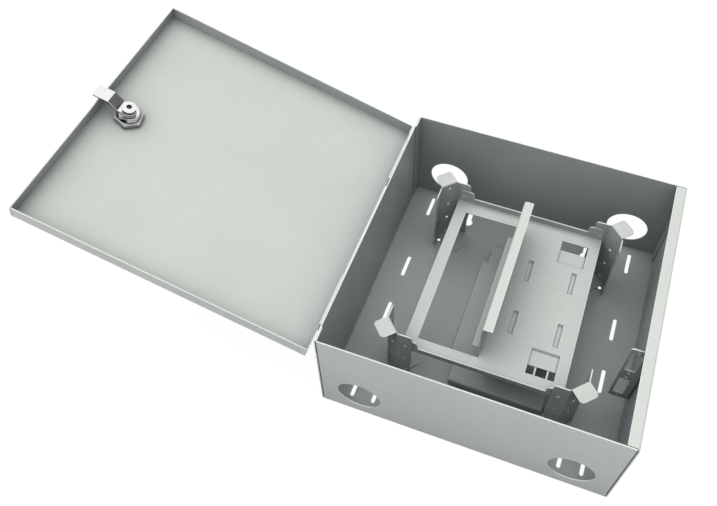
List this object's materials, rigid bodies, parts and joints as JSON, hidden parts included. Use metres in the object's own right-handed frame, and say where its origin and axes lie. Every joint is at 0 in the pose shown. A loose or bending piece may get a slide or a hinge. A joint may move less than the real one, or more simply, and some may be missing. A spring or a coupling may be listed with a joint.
{
  "type": "cable storage cabinet",
  "caption": "Shallow sheet-steel wall cabinet for cable storage, with a hinged tray door, a cam lock, perforated corner uprights, a pressed mounting plate and round cable entries.",
  "frame": {"origin": "centre of the back panel's outer face, which is also the centre of the four wall-fixing keyholes", "axes": "+Z out of the wall towards the open side, +Y up the wall, +X from the hinge side to the lock side"},
  "size_m": [0.6006, 0.303, 0.202],
  "materials": {
    "powder_coat": "fine-textured light grey powder coat",
    "lock_chrome": "bright chrome plate",
    "zinc": "bright zinc plate"
  },
  "bodies": {
    "cabinet": {"body_wrap": "powder_coat", "upper_end_panel": "powder_coat", "lower_end_panel": "powder_coat", "upper_fixed_leaf": "powder_coat", "lower_fixed_leaf": "powder_coat", "upper_hinge_pin": "zinc", "lower_hinge_pin": "zinc", "upright_upper_lock": "powder_coat", "upright_upper_hinge": "powder_coat", "upright_lower_lock": "powder_coat", "upright_lower_hinge": "powder_coat", "mounting_plate": "powder_coat", "centre_bridge": "powder_coat", "lower_platform": "powder_coat", "adapter_bracket": "powder_coat", "foot_rivets": "zinc", "platform_rivets": "zinc", "bridge_rivets": "zinc", "bracket_rivets": "zinc"},
    "door": {"door": "powder_coat", "upper_door_leaf": "powder_coat", "lower_door_leaf": "powder_coat", "lock_housing": "lock_chrome", "lock_nut": "lock_chrome"},
    "lock_cam": {"lock_core": "lock_chrome", "lock_cam": "lock_chrome", "cam_screw": "lock_chrome"}
  },
  "joints": [
    {"name": "door_hinge", "type": "hinge", "parent": "cabinet", "child": "door", "pos_m": [-0.1536, 0, 0.1079], "axis": [0, 1, 0], "range_deg": [0, 163.15]},
    {"name": "cam_turn", "type": "hinge", "parent": "door", "child": "lock_cam", "pos_m": [-0.42074, 0.002, 0.16958], "axis": [-0.2899, 0, -0.9571], "range_deg": [0, 90]}
  ]
}
